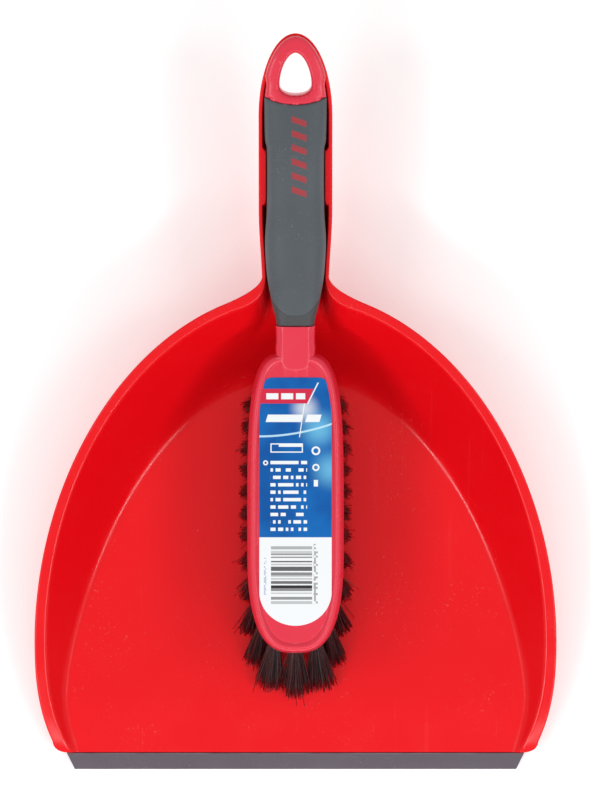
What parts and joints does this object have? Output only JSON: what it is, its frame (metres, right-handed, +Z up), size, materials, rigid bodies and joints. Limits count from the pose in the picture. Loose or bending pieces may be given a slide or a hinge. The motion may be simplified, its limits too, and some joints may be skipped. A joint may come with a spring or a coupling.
{
  "type": "dust pan and brush set",
  "caption": "Half-round dust pan with a soft lip and an open trough handle, and a hand brush with bristle tufts and a soft grip that clips into it.",
  "frame": {"origin": "on the floor, under the middle of the set's outer box", "axes": "+X to the right, +Y from the soft lip towards the handle's end, +Z up; the pan rests on the flat of its floor"},
  "size_m": [0.228, 0.3204, 0.0665],
  "materials": {
    "pan_plastic": "glossy moulded red polypropylene",
    "brush_plastic": "satin moulded red polypropylene",
    "grip_rubber": "fine matt soft-touch elastomer",
    "lip_rubber": "smooth grey elastomer",
    "label_film": "printed sticker film, blue and white, no lettering",
    "bristle": "dark crimped synthetic bristle"
  },
  "bodies": {
    "pan": {"pan_shell": "pan_plastic", "lip_strip": "lip_rubber"},
    "brush": {"brush_body": "brush_plastic", "soft_grip": "grip_rubber", "label": "label_film", "outer_tuft_01": "bristle", "outer_tuft_02": "bristle", "outer_tuft_03": "bristle", "outer_tuft_04": "bristle", "outer_tuft_05": "bristle", "outer_tuft_06": "bristle", "outer_tuft_07": "bristle", "outer_tuft_08": "bristle", "outer_tuft_09": "bristle", "outer_tuft_10": "bristle", "outer_tuft_11": "bristle", "outer_tuft_12": "bristle", "outer_tuft_13": "bristle", "outer_tuft_14": "bristle", "outer_tuft_15": "bristle", "outer_tuft_16": "bristle", "outer_tuft_17": "bristle", "outer_tuft_18": "bristle", "outer_tuft_19": "bristle", "outer_tuft_20": "bristle", "outer_tuft_21": "bristle", "outer_tuft_22": "bristle", "outer_tuft_23": "bristle", "outer_tuft_24": "bristle", "outer_tuft_25": "bristle", "inner_tuft_01": "bristle", "inner_tuft_02": "bristle", "inner_tuft_03": "bristle", "inner_tuft_04": "bristle", "inner_tuft_05": "bristle", "inner_tuft_06": "bristle", "inner_tuft_07": "bristle", "inner_tuft_08": "bristle", "inner_tuft_09": "bristle", "inner_tuft_10": "bristle", "inner_tuft_11": "bristle", "inner_tuft_12": "bristle", "inner_tuft_13": "bristle", "inner_tuft_14": "bristle", "inner_tuft_15": "bristle", "inner_tuft_16": "bristle", "inner_tuft_17": "bristle", "inner_tuft_18": "bristle"}
  },
  "joints": [
    {"name": "brush_lift", "type": "slide", "parent": "pan", "child": "brush", "axis": [0, -0.152, 0.9884], "range_m": [0, 0.12]}
  ]
}
